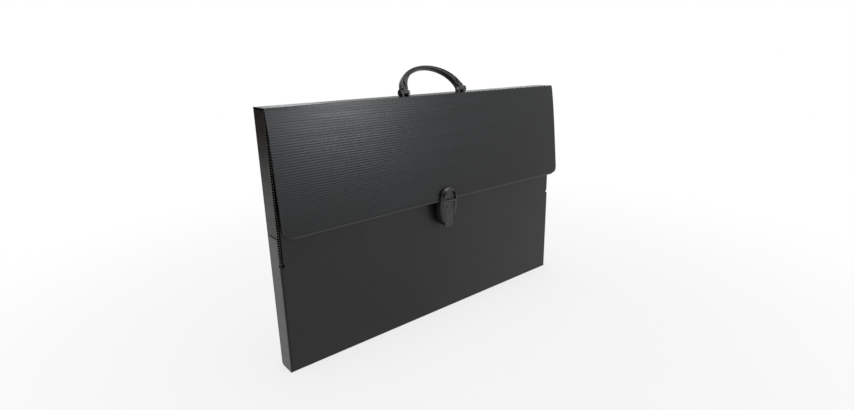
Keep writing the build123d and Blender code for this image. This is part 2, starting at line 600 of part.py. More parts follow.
# Latch lever: a rounded tongue bored for the pin, with a hook behind that reaches into the keeper
LEVER_HALF = LEVER_WIDTH / 2
HOOK_TIP_Y = FRONT_FACE - KEEPER_DEPTH + HOOK_REACH
HOOK_ROOT = LATCH_START - LATCH_UP * HOOK_TOP
HOOK_DEPTH = (HOOK_TIP_Y - HOOK_ROOT.Y) / TILT_COS
with BuildPart() as latch_lever:
    with BuildSketch(LATCH_PLANE.offset(LEVER_BACK)):
        with BuildLine():
            Polyline(
                (-LEVER_HALF, LEVER_HALF - LEVER_TIP),
                (-LEVER_HALF, -LEVER_TOP),
                (LEVER_HALF, -LEVER_TOP),
                (LEVER_HALF, LEVER_HALF - LEVER_TIP),
            )
            ThreePointArc(
                (LEVER_HALF, LEVER_HALF - LEVER_TIP),
                (0, -LEVER_TIP),
                (-LEVER_HALF, LEVER_HALF - LEVER_TIP),
            )
        make_face()
    extrude(amount=LEVER_FRONT - LEVER_BACK)
    lever_face = latch_lever.faces().sort_by(Axis(LATCH_START, LATCH_OUT))[-1]
    fillet(lever_face.edges(), radius=LEVER_EDGE_RADIUS)
    with BuildSketch(LATCH_PLANE.offset(LEVER_BACK)):
        with Locations((0, -HOOK_TOP)):
            Rectangle(HOOK_WIDTH, HOOK_THICKNESS, align=(Align.CENTER, Align.MAX))
    extrude(amount=-LEVER_BACK - HOOK_DEPTH)
    with BuildSketch(LATCH_PIN_PLANE):
        Circle(LATCH_PIN_RADIUS + LATCH_PIN_CLEARANCE)
    extrude(amount=LEVER_WIDTH, both=True, mode=Mode.SUBTRACT)
latch_lever.part.label = "latch_lever"
export_step(latch_lever.part, "parts/latch_lever.step")

# Latch screws, through the body and the flap into the plate behind
with BuildPart() as latch_screws:
    with BuildSketch(FLAP_PLANE.offset(SCREW_SEAT)):
        with Locations(*SCREW_PLACES):
            Circle(SCREW_HEAD_RADIUS)
    extrude(amount=SCREW_HEAD_HEIGHT)
    with BuildSketch(FLAP_PLANE.offset(SCREW_SEAT)):
        with Locations(*SCREW_PLACES):
            Circle(SCREW_RADIUS)
    extrude(amount=-SCREW_SEAT - SHEET - PLATE_THICKNESS - SCREW_TIP)
latch_screws.part.label = "latch_screws"
export_step(latch_screws.part, "parts/latch_screws.step")

# Plate behind the flap that the latch screws pull against
with BuildPart() as latch_backing_plate:
    with BuildSketch(FLAP_PLANE.offset(-SHEET)):
        with Locations((0, -SCREW_DROP)):
            RectangleRounded(FLAP_PLATE_LENGTH, FLAP_PLATE_HEIGHT, FLAP_PLATE_CORNER_RADIUS)
        with Locations(*SCREW_PLACES):
            Circle(SCREW_RADIUS, mode=Mode.SUBTRACT)
    extrude(amount=-PLATE_THICKNESS)
latch_backing_plate.part.label = "latch_backing_plate"
export_step(latch_backing_plate.part, "parts/latch_backing_plate.step")

# Keeper on the front panel, with the slot for the lever's hook
KEEPER_HEIGHT = KEEPER_TOP - KEEPER_BOTTOM
KEEPER_SCREW_SEAT = KEEPER_DEPTH - SCREW_SINK
with BuildPart() as latch_keeper:
    with BuildSketch(KEEPER_FACE):
        RectangleRounded(KEEPER_WIDTH, KEEPER_HEIGHT, KEEPER_CORNER_RADIUS)
    extrude(amount=KEEPER_DEPTH)
    fillet(latch_keeper.faces().sort_by(Axis.Y)[0].edges(), radius=KEEPER_EDGE_RADIUS)
    with BuildSketch(KEEPER_FACE.offset(KEEPER_DEPTH)):
        with Locations((0, KEEPER_SLOT_BOTTOM - KEEPER_MIDDLE)):
            Rectangle(
                KEEPER_SLOT_WIDTH,
                KEEPER_SLOT_TOP - KEEPER_SLOT_BOTTOM,
                align=(Align.CENTER, Align.MIN),
            )
    extrude(amount=-KEEPER_SLOT_DEPTH, mode=Mode.SUBTRACT)
    with BuildSketch(KEEPER_FACE.offset(KEEPER_SCREW_SEAT)):
        with Locations(*KEEPER_SCREW_PLACES):
            Circle(SCREW_HEAD_RADIUS + SCREW_HOLE_CLEARANCE)
    extrude(amount=SCREW_SINK, mode=Mode.SUBTRACT)
    with BuildSketch(KEEPER_FACE):
        with Locations(*KEEPER_SCREW_PLACES):
            Circle(SCREW_HOLE_RADIUS)
    extrude(amount=KEEPER_DEPTH, mode=Mode.SUBTRACT)
latch_keeper.part.label = "latch_keeper"
export_step(latch_keeper.part, "parts/latch_keeper.step")

# Keeper screws, through the keeper and the front panel into the plate inside
with BuildPart() as keeper_screws:
    with BuildSketch(KEEPER_FACE.offset(KEEPER_SCREW_SEAT)):
        with Locations(*KEEPER_SCREW_PLACES):
            Circle(SCREW_HEAD_RADIUS)
    extrude(amount=SCREW_HEAD_HEIGHT)
    with BuildSketch(KEEPER_FACE.offset(KEEPER_SCREW_SEAT)):
        with Locations(*KEEPER_SCREW_PLACES):
            Circle(SCREW_RADIUS)
    extrude(amount=-KEEPER_SCREW_SEAT - SHEET - PLATE_THICKNESS - SCREW_TIP)
keeper_screws.part.label = "keeper_screws"
export_step(keeper_screws.part, "parts/keeper_screws.step")

# Plate inside the front panel that the keeper screws pull against
with BuildPart() as keeper_backing_plate:
    with BuildSketch(KEEPER_FACE.offset(-SHEET)):
        RectangleRounded(KEEPER_WIDTH, KEEPER_HEIGHT, KEEPER_CORNER_RADIUS)
        with Locations(*KEEPER_SCREW_PLACES):
            Circle(SCREW_RADIUS, mode=Mode.SUBTRACT)
    extrude(amount=-PLATE_THICKNESS)
keeper_backing_plate.part.label = "keeper_backing_plate"
export_step(keeper_backing_plate.part, "parts/keeper_backing_plate.step")
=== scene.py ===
"""A slim drawing case of fluted plastic sheet, dressed for its portrait.

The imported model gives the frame. Each sub-assembly is a class that models the pieces which stand
for plain solids, and gives every other node its finish.
"""

import logging
import math
from dataclasses import dataclass
from enum import Enum
from typing import Callable

import bpy
from mathutils import Matrix, Vector


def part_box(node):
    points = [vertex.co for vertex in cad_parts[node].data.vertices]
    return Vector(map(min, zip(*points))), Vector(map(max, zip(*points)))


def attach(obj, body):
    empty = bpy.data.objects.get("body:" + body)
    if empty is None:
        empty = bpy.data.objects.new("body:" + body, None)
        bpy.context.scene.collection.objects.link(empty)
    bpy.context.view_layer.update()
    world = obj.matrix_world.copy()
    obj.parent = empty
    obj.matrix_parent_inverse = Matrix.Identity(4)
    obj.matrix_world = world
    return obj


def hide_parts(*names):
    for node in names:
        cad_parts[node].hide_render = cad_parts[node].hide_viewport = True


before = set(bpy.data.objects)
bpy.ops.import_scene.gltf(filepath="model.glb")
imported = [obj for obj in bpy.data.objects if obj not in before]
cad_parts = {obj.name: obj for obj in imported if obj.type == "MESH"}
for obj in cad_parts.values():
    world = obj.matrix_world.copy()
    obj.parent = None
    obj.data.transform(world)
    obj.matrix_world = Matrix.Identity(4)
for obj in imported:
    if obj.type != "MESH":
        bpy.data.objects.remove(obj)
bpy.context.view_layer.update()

log = logging.getLogger("drawing_case")

Pair = tuple[float, float]
Triple = tuple[float, float, float]
Colour = tuple[float, float, float, float]
Piece = bpy.types.Object
Material = bpy.types.Material
Socket = bpy.types.NodeSocket

MM = 0.001
CASE_HALF = 240.0 * MM
CASE_TOP = 312.0 * MM
FRONT_FACE = -15.0 * MM
FLUTE_PITCH = 2.95 * MM
SHEET = 2.5 * MM
SKIN = 0.35 * MM
WEB = 0.35 * MM
RIGHT = Vector((1.0, 0.0, 0.0))
UP = Vector((0.0, 0.0, 1.0))
BACKWARD = Vector((0.0, 1.0, 0.0))
ORIGIN = Vector()


def lean_forward(degrees: float) -> tuple[Vector, Vector]:
    """Turn two directions with a sheet whose foot comes forward.

    Args:
        degrees: how far the sheet leans.

    Returns:
        The direction out of the sheet's front, and the one down it.
    """
    cosine, sine = math.cos(math.radians(degrees)), math.sin(math.radians(degrees))
    return Vector((0.0, -cosine, sine)), Vector((0.0, -sine, -cosine))


FLAP_CREASE = Vector((0.0, FRONT_FACE, CASE_TOP))
FLAP_OUT, FLAP_DOWN = lean_forward(5.6)
LATCH_START = Vector((0.0, -39.803 * MM, 312.260 * MM))
LATCH_OUT, LATCH_DOWN = lean_forward(-4.4)

WELD = 2e-6
FLAT_TURN = math.radians(0.5)
DRUM_SIDES = 40
CLOUD_SPAN = (0.35, 0.68)
WEAR_SPAN = (0.3, 0.7)
WHITE = (1.0, 1.0, 1.0, 1.0)
BLACK = (0.0, 0.0, 0.0, 1.0)


class Select(Enum):
    """The kinds of mesh element that edit mode picks."""

    EDGES = "EDGE"
    FACES = "FACE"


class Tool(Enum):
    """What a tool does to the piece that it meets."""

    JOINS = "UNION"
    CUTS = "DIFFERENCE"


# Work in object and edit mode


def deselect() -> None:
    """Leave no object selected."""
    bpy.ops.object.select_all(action="DESELECT")


def activate(piece: Piece) -> None:
    """Make one object the only selected one, and the active one.

    Args:
        piece: the object.
    """
    deselect()
    piece.select_set(True)
    bpy.context.view_layer.objects.active = piece


def enter_edit(piece: Piece) -> None:
    """Enter edit mode with all of a piece selected.

    Args:
        piece: the piece to edit.
    """
    activate(piece)
    bpy.ops.object.mode_set(mode="EDIT")
    bpy.ops.mesh.select_all(action="SELECT")


def leave_edit() -> None:
    """Go back to object mode."""
    bpy.ops.object.mode_set(mode="OBJECT")


def newest(name: str) -> Piece:
    """Name the object that an operator has just added.

    Args:
        name: the name for the object and its mesh.

    Returns:
        The object.
    """
    piece = bpy.context.active_object
    piece.name = name
    piece.data.name = name
    return piece


def settle(piece: Piece) -> None:
    """Move a piece's place, turn and scale into its mesh."""
    activate(piece)
    bpy.ops.object.transform_apply(location=True, rotation=True, scale=True)


def modify(piece: Piece, kind: str, **values: object) -> None:
    """Add a modifier to a piece and apply it.

    Args:
        piece: the piece to change.
        kind: the modifier's type.
        values: the modifier's settings by name.
    """
    activate(piece)
    modifier = piece.modifiers.new(kind.title(), kind)
    for key, value in values.items():
        setattr(modifier, key, value)
    bpy.ops.object.modifier_apply(modifier=modifier.name)


def combine(piece: Piece, tool: Piece, work: Tool) -> None:
    """Cut a piece with a tool or join the two, and delete the tool.

    Args:
        piece: the piece that is kept.
        tool: the object that cuts it or joins it.
        work: which of the two.
    """
    modify(piece, "BOOLEAN", object=tool, operation=work.value, solver="EXACT")
    bpy.data.objects.remove(tool)


def clean(piece: Piece) -> None:
    """Merge a piece's doubled points and turn its faces outwards.

    Args:
        piece: the piece to mend.
    """
    enter_edit(piece)
    bpy.ops.mesh.remove_doubles(threshold=WELD)
    bpy.ops.mesh.normals_make_consistent(inside=False)
    leave_edit()


def smooth(piece: Piece, degrees: float = 35.0) -> None:
    """Shade a piece smooth, and keep its sharper edges crisp.

    Args:
        piece: the piece to shade.
        degrees: an edge that turns more than this stays sharp.
    """
    activate(piece)
    bpy.ops.object.shade_smooth_by_angle(angle=math.radians(degrees))


def bevel_edges(piece: Piece, width: float, degrees: float = 35.0) -> None:
    """Round a piece's sharper edges, each with two faces.

    Args:
        piece: the piece to round.
        width: how far each bevel reaches.
        degrees: an edge that turns less than this stays as it is.
    """
    limit = {"limit_method": "ANGLE", "angle_limit": math.radians(degrees)}
    modify(piece, "BEVEL", width=width, segments=2, use_clamp_overlap=True, **limit)


def copy_node(node_name: str, name: str) -> Piece:
    """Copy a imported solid's mesh into a piece of its own.

    Args:
        node_name: the node to copy.
        name: the new piece's name.

    Returns:
        The piece, at the origin, with its doubled points merged.
    """
    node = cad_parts[node_name]
    mesh = node.data.copy()
    mesh.name = name
    mesh.transform(node.matrix_world)
    piece = bpy.data.objects.new(name, mesh)
    bpy.context.scene.collection.objects.link(piece)
    clean(piece)
    enter_edit(piece)
    bpy.ops.mesh.dissolve_limited(angle_limit=FLAT_TURN)
    leave_edit()
    return piece


def block(name: str, low: Triple, high: Triple) -> Piece:
    """Make a box between two corners.

    Args:
        name: its name.
        low: its lowest corner.
        high: its highest corner.

    Returns:
        The box, settled at the origin.
    """
    deselect()
    middle = [(a + b) / 2 for a, b in zip(low, high)]
    bpy.ops.mesh.primitive_cube_add(size=1.0, location=middle)
    box = newest(name)
    box.scale = [b - a for a, b in zip(low, high)]
    settle(box)
    return box


def drum(
    name: str, centre: Triple, radius: float, length: float, turn: Triple = (0.0, 0.0, 0.0)
) -> Piece:
    """Make a round bar.

    Args:
        name: its name.
        centre: its middle.
        radius: its radius.
        length: its length, along Z before the turn.
        turn: its turn about each axis, in radians.

    Returns:
        The bar, settled at the origin.
    """
    deselect()
    bpy.ops.mesh.primitive_cylinder_add(
        vertices=DRUM_SIDES, radius=radius, depth=length, location=centre, rotation=turn
    )
    bar = newest(name)
    settle(bar)
    return bar


def pick(piece: Piece, kind: Select, rule: Callable[[Vector, Vector], bool]) -> None:
    """Enter edit mode with the elements that follow a rule selected.

    Args:
        piece: the piece to edit.
        kind: edges or faces.
        rule: takes a face's centre and normal, or an edge's centre and direction, and says
            whether it is picked.
    """
    activate(piece)
    bpy.ops.object.mode_set(mode="EDIT")
    bpy.ops.mesh.select_mode(type=kind.value)
    bpy.ops.mesh.select_all(action="DESELECT")
    leave_edit()
    mesh = piece.data
    if kind is Select.FACES:
        for face in mesh.polygons:
            face.select = rule(face.center, face.normal)
    else:
        for edge in mesh.edges:
            first, second = (mesh.vertices[i].co for i in edge.vertices)
            edge.select = rule((first + second) / 2, (first - second).normalized())
    bpy.ops.object.mode_set(mode="EDIT")


def pull_rows(piece: Piece, rows: int, step: float) -> None:
    """Extrude all of a flat piece along Z, a row at a time.

    Args:
        piece: the flat piece.
        rows: how many rows.
        step: each row's length.
    """
    pick(piece, Select.FACES, lambda centre, normal: True)
    for _ in range(rows):
        bpy.ops.mesh.extrude_region_move(TRANSFORM_OT_translate={"value": (0.0, 0.0, step)})
    leave_edit()


def reshape(piece: Piece, rule: Callable[[Vector], Vector]) -> None:
    """Move each point of a piece by a rule.

    Args:
        piece: the piece to reshape.
        rule: gives a point's new place from its old one.
    """
    for vertex in piece.data.vertices:
        vertex.co = rule(vertex.co)
    piece.data.update()


def tell(piece: Piece) -> None:
    """Report a finished piece."""
    log.info("%s: %d faces", piece.name, len(piece.data.polygons))


def dress(piece: Piece, material: Material) -> None:
    """Give a piece one material."""
    piece.data.materials.clear()
    piece.data.materials.append(material)


def dress_node(name: str, material: Material) -> None:
    """Give a carried-over node one material in all its slots.

    Args:
        name: the node's name.
        material: its material.
    """
    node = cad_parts[name]
    if not node.material_slots:
        node.data.materials.append(material)
    for place in node.material_slots:
        place.material = material
    log.info("%s dressed as %s", name, material.name)


# Finishes


class NodeWork:
    """Adds nodes to one node tree and joins them."""

    def __init__(self, tree: bpy.types.NodeTree) -> None:
        """Start work on a node tree."""
        self.tree = tree

    def feed(self, node: bpy.types.Node, feeds: dict[str | int, object]) -> None:
        """Join a node's inputs to other nodes' outputs, or set them.

        Args:
            node: the node.
            feeds: an output socket or a plain value for each input's name or number.
        """
        for key, value in feeds.items():
            if isinstance(value, Socket):
                self.tree.links.new(value, node.inputs[key])
            else:
                node.inputs[key].default_value = value

    def node(
        self, kind: str, feeds: dict[str | int, object] | None = None, **settings: object
    ) -> bpy.types.Node:
        """Add a node.

        Args:
            kind: the node's type.
            feeds: what goes into its inputs.
            settings: the node's properties by name.

        Returns:
            The new node.
        """
        made = self.tree.nodes.new(kind)
        for key, value in settings.items():
            setattr(made, key, value)
        self.feed(made, feeds or {})
        return made

    def math(self, operation: str, *values: object) -> Socket:
        """Work on one, two or three numbers.

        Args:
            operation: the name of the operation.
            values: the numbers or sockets.

        Returns:
            The result's socket.
        """
        made = self.node("ShaderNodeMath", dict(enumerate(values)), operation=operation)
        return made.outputs[0]

    def mix_shaders(self, share: Socket, first: Socket, second: Socket) -> Socket:
        """Mix two shaders.

        Args:
            share: how much of the second shader shows.
            first: the first shader's socket.
            second: the second shader's socket.

        Returns:
            The mixed shader's socket.
        """
        return self.node("ShaderNodeMixShader", {0: share, 1: first, 2: second}).outputs[0]

    def looked_at(self) -> Socket:
        """Tell the rays of the eye, of gloss and of glass from those that light the case.

        Returns:
            A socket that is one for the eye, gloss and glass, and nought otherwise.
        """
        path = self.node("ShaderNodeLightPath").outputs
        eye = self.math("MAXIMUM", path["Is Camera Ray"], path["Is Glossy Ray"])
        return self.math("MAXIMUM", eye, path["Is Transmission Ray"])


class Painter(NodeWork):
    """Makes one new material from nodes."""

    def __init__(self, name: str) -> None:
        """Start a material.

        Args:
            name: the material's name.
        """
        self.material = bpy.data.materials.new(name)
        self.material.use_nodes = True
        super().__init__(self.material.node_tree)
        self.shader = self.tree.nodes["Principled BSDF"]

    def along(self, direction: Vector, start: Vector = ORIGIN) -> Socket:
        """Measure how far a point lies along a direction.

        Args:
            direction: a direction of length one.
            start: the point that measures nought.

        Returns:
            The distance's socket, in metres.
        """
        feeds = {0: self.node("ShaderNodeTexCoord").outputs["Object"], 1: direction}
        product = self.node("ShaderNodeVectorMath", feeds, operation="DOT_PRODUCT")
        return self.math("SUBTRACT", product.outputs["Value"], direction.dot(start))

    def noise(self, scale: float, detail: float, stretch: Triple = (1.0, 1.0, 1.0)) -> Socket:
        """Add a noise in the object's frame.

        Args:
            scale: spots to the metre.
            detail: how many finer layers.
            stretch: how much closer the spots lie along each axis.

        Returns:
            The noise's socket, from nought to one.
        """
        place = self.node("ShaderNodeTexCoord").outputs["Object"]
        mapping = self.node("ShaderNodeMapping", {"Vector": place, "Scale": stretch})
        feeds = {"Vector": mapping.outputs[0], "Scale": scale, "Detail": detail}
        return self.node("ShaderNodeTexNoise", feeds).outputs["Fac"]

    def span(
        self, value: object, low: float, high: float, start: float = 0.0, end: float = 1.0
    ) -> Socket:
        """Fit a value smoothly from one span into another.

        Args:
            value: the number's socket.
            low: the value that gives start.
            high: the value that gives end.
            start: the result at low.
            end: the result at high.

        Returns:
            The fitted value's socket.
        """
        feeds = {"Value": value, "From Min": low, "From Max": high, "To Min": start, "To Max": end}
        made = self.node("ShaderNodeMapRange", feeds, interpolation_type="SMOOTHSTEP")
        return made.outputs["Result"]

    def ridge(self, value: object, middle: float, half_width: float) -> Socket:
        """Give one at a line, falling to nought on both sides.

        Args:
            value: the distance's socket.
            middle: where the line lies.
            half_width: how far it reaches.

        Returns:
            The ridge's socket.
        """
        away = self.math("ABSOLUTE", self.math("SUBTRACT", value, middle))
        return self.span(away, 0.0, half_width, 1.0, 0.0)

    def blend(self, share: object, first: object, second: object) -> Socket:
        """Mix two colours.

        Args:
            share: how much of the second colour shows.
            first: a colour or its socket.
            second: a colour or its socket.

        Returns:
            The mixed colour's socket.
        """
        made = self.node("ShaderNodeMix", {0: share, 6: first, 7: second}, data_type="RGBA")
        return made.outputs[2]

    def bump(self, height: object, depth: float, under: Socket | None = None) -> Socket:
        """Raise the surface by a height.

        Args:
            height: the height's socket.
            depth: metres raised by a height of one.
            under: the normal that this one lies on.

        Returns:
            The new normal's socket.
        """
        made = self.node("ShaderNodeBump", {"Distance": depth, "Height": height})
        if under is not None:
            self.feed(made, {"Normal": under})
        return made.outputs[0]

    def cover(self, colour: Socket, rough: Socket, normal: Socket, **plain: float) -> None:
        """Join the patterns to the shader, and set what is the same all over.

        Args:
            colour: the colour's socket.
            rough: the roughness's socket.
            normal: the normal's socket.
            plain: plain values by input, with a low line for each space in its name.
        """
        self.feed(self.shader, {"Base Color": colour, "Roughness": rough, "Normal": normal})
        self.feed(self.shader, {key.replace("_", " "): value for key, value in plain.items()})


@dataclass(frozen=True)
class FlutedPlastic:
    """Black fluted sheet: soft ribs over its webs, a fine grain, scuffs and pale pressed lines,
    with painted highlights on cut web ends and along a pressed edge, and painted shade in the
    bitten flutes at its folds.

    Heights lie across the flutes, and count from the sheet's middle.
    """

    name: str
    across: Vector
    middle: Vector
    dark: Colour = (0.0085, 0.0083, 0.0079, 1.0)
    pale: Colour = (0.0120, 0.0117, 0.0110, 1.0)
    roughness: float = 0.36
    scuffing: float = 0.05
    shine: float = 0.3
    cloud_scale: float = 9.0
    streak_scale: float = 60.0
    streak_stretch: Triple = (0.15, 0.15, 2.0)
    rib_depth: float = 0.03 * MM
    web_edge: float = 0.3
    grain_scale: float = 5200.0
    grain_depth: float = 0.0025 * MM
    crease: float | None = None
    crease_half: float = 0.8 * MM
    crease_depth: float = 0.005 * MM
    crease_share: float = 0.10
    crease_grey: Colour = (0.08, 0.08, 0.08, 1.0)
    # Where the sheet is cut across its flutes, the web ends are painted pale grey: a painted
    # highlight for the light they catch.
    cut_edge: float | None = None
    cut_span: Pair = (0.1 * MM, 0.3 * MM)
    painted_web_highlight: Colour = (0.26, 0.25, 0.235, 1.0)
    # A band along one edge is painted paler grey: a painted highlight where the rolled edge
    # catches the light.
    highlight_edge: float | None = None
    edge_highlight_span: Pair = (1.5 * MM, 2.3 * MM)
    painted_edge_highlight: Colour = (0.050, 0.053, 0.056, 1.0)
    folds: bool = False
    fold_side: Pair = (1.8 * MM, 1.2 * MM)
    fold_front: Pair = (0.3 * MM, 0.6 * MM)
    tooth_reach: float = 1.5 * MM
    tooth_depth: float = 0.1 * MM
    # The bitten flute ends at the folds are painted near black: painted shade for the shadow
    # inside them.
    painted_notch_shade: Colour = (0.003, 0.0025, 0.002, 1.0)

    def build(self) -> Material:
        """Make the material.

        Returns:
            The material.
        """
        paint = Painter(self.name)
        height = paint.along(self.across, self.middle)
        turns = paint.math("MULTIPLY", height, 2 * math.pi / FLUTE_PITCH)
        rib = paint.math("COSINE", turns)
        cloud = paint.noise(self.cloud_scale, 2.0)
        streak = paint.noise(self.streak_scale, 4.0, self.streak_stretch)
        grain = paint.noise(self.grain_scale, 2.0)
        colour = paint.blend(paint.span(cloud, *CLOUD_SPAN), self.dark, self.pale)
        scuffs = paint.span(streak, *WEAR_SPAN)
        rough = paint.math("MULTIPLY_ADD", scuffs, self.scuffing, self.roughness)
        normal = paint.bump(rib, self.rib_depth)
        normal = paint.bump(grain, self.grain_depth, normal)
        if self.crease is not None:
            line = paint.ridge(height, self.crease, self.crease_half)
            normal = paint.bump(line, -self.crease_depth, normal)
            share = paint.math("MULTIPLY", line, self.crease_share)
            colour = paint.blend(share, colour, self.crease_grey)
        # Painted highlight: the web ends along the cut edge are painted pale grey.
        if self.cut_edge is not None:
            start, end = (self.cut_edge + reach for reach in self.cut_span)
            face = paint.span(paint.along(BACKWARD), start, end, 1.0, 0.0)
            webs = paint.span(rib, -self.web_edge, self.web_edge)
            colour = paint.blend(paint.math("MULTIPLY", face, webs), colour, self.painted_web_highlight)
        # Painted highlight: a paler band along the edge.
        if self.highlight_edge is not None:
            start, end = (self.highlight_edge + reach for reach in self.edge_highlight_span)
            band = paint.span(height, start, end, 1.0, 0.0)
            colour = paint.blend(band, colour, self.painted_edge_highlight)
        if self.folds:
            colour, normal = self.crush(paint, turns, colour, normal)
        paint.cover(colour, rough, normal, Specular_IOR_Level=self.shine)
        return paint.material

    def crush(
        self, paint: Painter, turns: Socket, colour: Socket, normal: Socket
    ) -> tuple[Socket, Socket]:
        """Bite into the flutes where the sheet is folded at its front corners, and paint the bites
        near black as painted shade.

        Args:
            paint: the painter of the material.
            turns: the distance across the flutes, as an angle that turns once a flute.
            colour: the colour so far.
            normal: the normal so far.

        Returns:
            The new colour and normal.
        """
        side = paint.math("ABSOLUTE", paint.along(RIGHT))
        near_side = paint.span(side, *(CASE_HALF - inset for inset in self.fold_side))
        tooth = paint.span(paint.math("SINE", turns), -self.web_edge, self.web_edge)
        teeth = paint.math("MULTIPLY", tooth, -self.tooth_reach)
        depth = paint.math("ADD", paint.along(BACKWARD), teeth)
        start, end = (FRONT_FACE + inset for inset in self.fold_front)
        near_front = paint.span(depth, start, end, 1.0, 0.0)
        notch_and_shade = paint.math("MULTIPLY", near_side, near_front)
        # Painted shade: the bites are painted near black.
        colour = paint.blend(notch_and_shade, colour, self.painted_notch_shade)
        return colour, paint.bump(notch_and_shade, -self.tooth_depth, normal)


@dataclass(frozen=True)
class MouldedPlastic:
    """Hard black moulded plastic with a fine grain and cloudy wear."""

    name: str
    dark: Colour = (0.010, 0.010, 0.0105, 1.0)
    pale: Colour = (0.018, 0.018, 0.019, 1.0)
    roughness: float = 0.30
    wear: float = 0.09
    shine: float = 0.5
    cloud_scale: float = 70.0
    grain_scale: float = 4200.0
    grain_depth: float = 0.002 * MM

    def build(self) -> Material:
        """Make the material.

        Returns:
            The material.
        """
        paint = Painter(self.name)
        cloud = paint.noise(self.cloud_scale, 3.0)
        grain = paint.noise(self.grain_scale, 2.0)
        colour = paint.blend(paint.span(cloud, *CLOUD_SPAN), self.dark, self.pale)
        worn = paint.span(cloud, *WEAR_SPAN)
        rough = paint.math("MULTIPLY_ADD", worn, self.wear, self.roughness)
        normal = paint.bump(grain, self.grain_depth)
        paint.cover(colour, rough, normal, Specular_IOR_Level=self.shine)
        return paint.material


@dataclass(frozen=True)
class Steel:
    """Plated steel with fine dull spots."""

    name: str
    colour: Colour = (0.42, 0.42, 0.43, 1.0)
    dulling: Colour = (0.55, 0.55, 0.54, 1.0)
    roughness: float = 0.32
    wear: float = 0.12
    spot_scale: float = 900.0
    spot_span: Pair = (0.4, 0.75)
    spot_depth: float = 0.006 * MM

    def build(self) -> Material:
        """Make the material.

        Returns:
            The material.
        """
        paint = Painter(self.name)
        spots = paint.noise(self.spot_scale, 4.0)
        dull = tuple(bright * share for bright, share in zip(self.colour, self.dulling))
        colour = paint.blend(paint.span(spots, *self.spot_span), self.colour, dull)
        worn = paint.span(spots, *WEAR_SPAN)
        rough = paint.math("MULTIPLY_ADD", worn, self.wear, self.roughness)
        paint.cover(colour, rough, paint.bump(spots, self.spot_depth), Metallic=1.0)
        return paint.material


# Sub-assemblies


@dataclass
class CaseShell:
    """The folded panels of the case and its lid, which keep their own solids."""

    front_height: float = 197.0 * MM
    inner_side_height: float = 306.7 * MM
    outer_side_height: float = 168.0 * MM
    outer_crease: float = 132.2 * MM

    def finish(self) -> None:
        """Give every panel its ribs, creases and folds."""
        panels = {
            "front_panel": FlutedPlastic(
                "front_sheet",
                UP,
                UP * (self.front_height / 2),
                dark=(0.0120, 0.0116, 0.0108, 1.0),
                pale=(0.0160, 0.0154, 0.0144, 1.0),
                roughness=0.38,
                shine=0.34,
                folds=True,
            ),
            "back_panel": FlutedPlastic("back_sheet", UP, UP * (CASE_TOP / 2)),
            "bottom_panel": FlutedPlastic("bottom_sheet", BACKWARD, ORIGIN),
            "top_panel": FlutedPlastic(
                "lid_sheet",
                BACKWARD,
                ORIGIN,
                roughness=0.42,
                rib_depth=0.001 * MM,
                grain_depth=0.0003 * MM,
            ),
        }
        for side in ("left", "right"):
            panels[f"{side}_inner_side"] = FlutedPlastic(
                f"{side}_inner_sheet",
                UP,
                UP * (SHEET + self.inner_side_height / 2),
                # The inner sides get a paler base than the back panel they fold from: painted
                # light that lifts them where the side card darkens their reflections.
                dark=(0.017, 0.0145, 0.012, 1.0),
                pale=(0.022, 0.0190, 0.016, 1.0),
                shine=0.22,
                rib_depth=0.015 * MM,
                cut_edge=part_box(f"{side}_inner_side")[0][1],
            )
            panels[f"{side}_outer_side"] = FlutedPlastic(
                f"{side}_outer_sheet",
                UP,
                UP * (self.outer_side_height / 2),
                # The outer sides get a paler base than the front panel, though they are the same
                # black sheet: painted light for the brighter light they catch.
                dark=(0.038, 0.0380, 0.035, 1.0),
                pale=(0.048, 0.0475, 0.044, 1.0),
                shine=0.40,
                rib_depth=0.004 * MM,
                crease=self.outer_crease - self.outer_side_height / 2,
                folds=True,
            )
        for name, finish in panels.items():
            dress_node(name, finish.build())


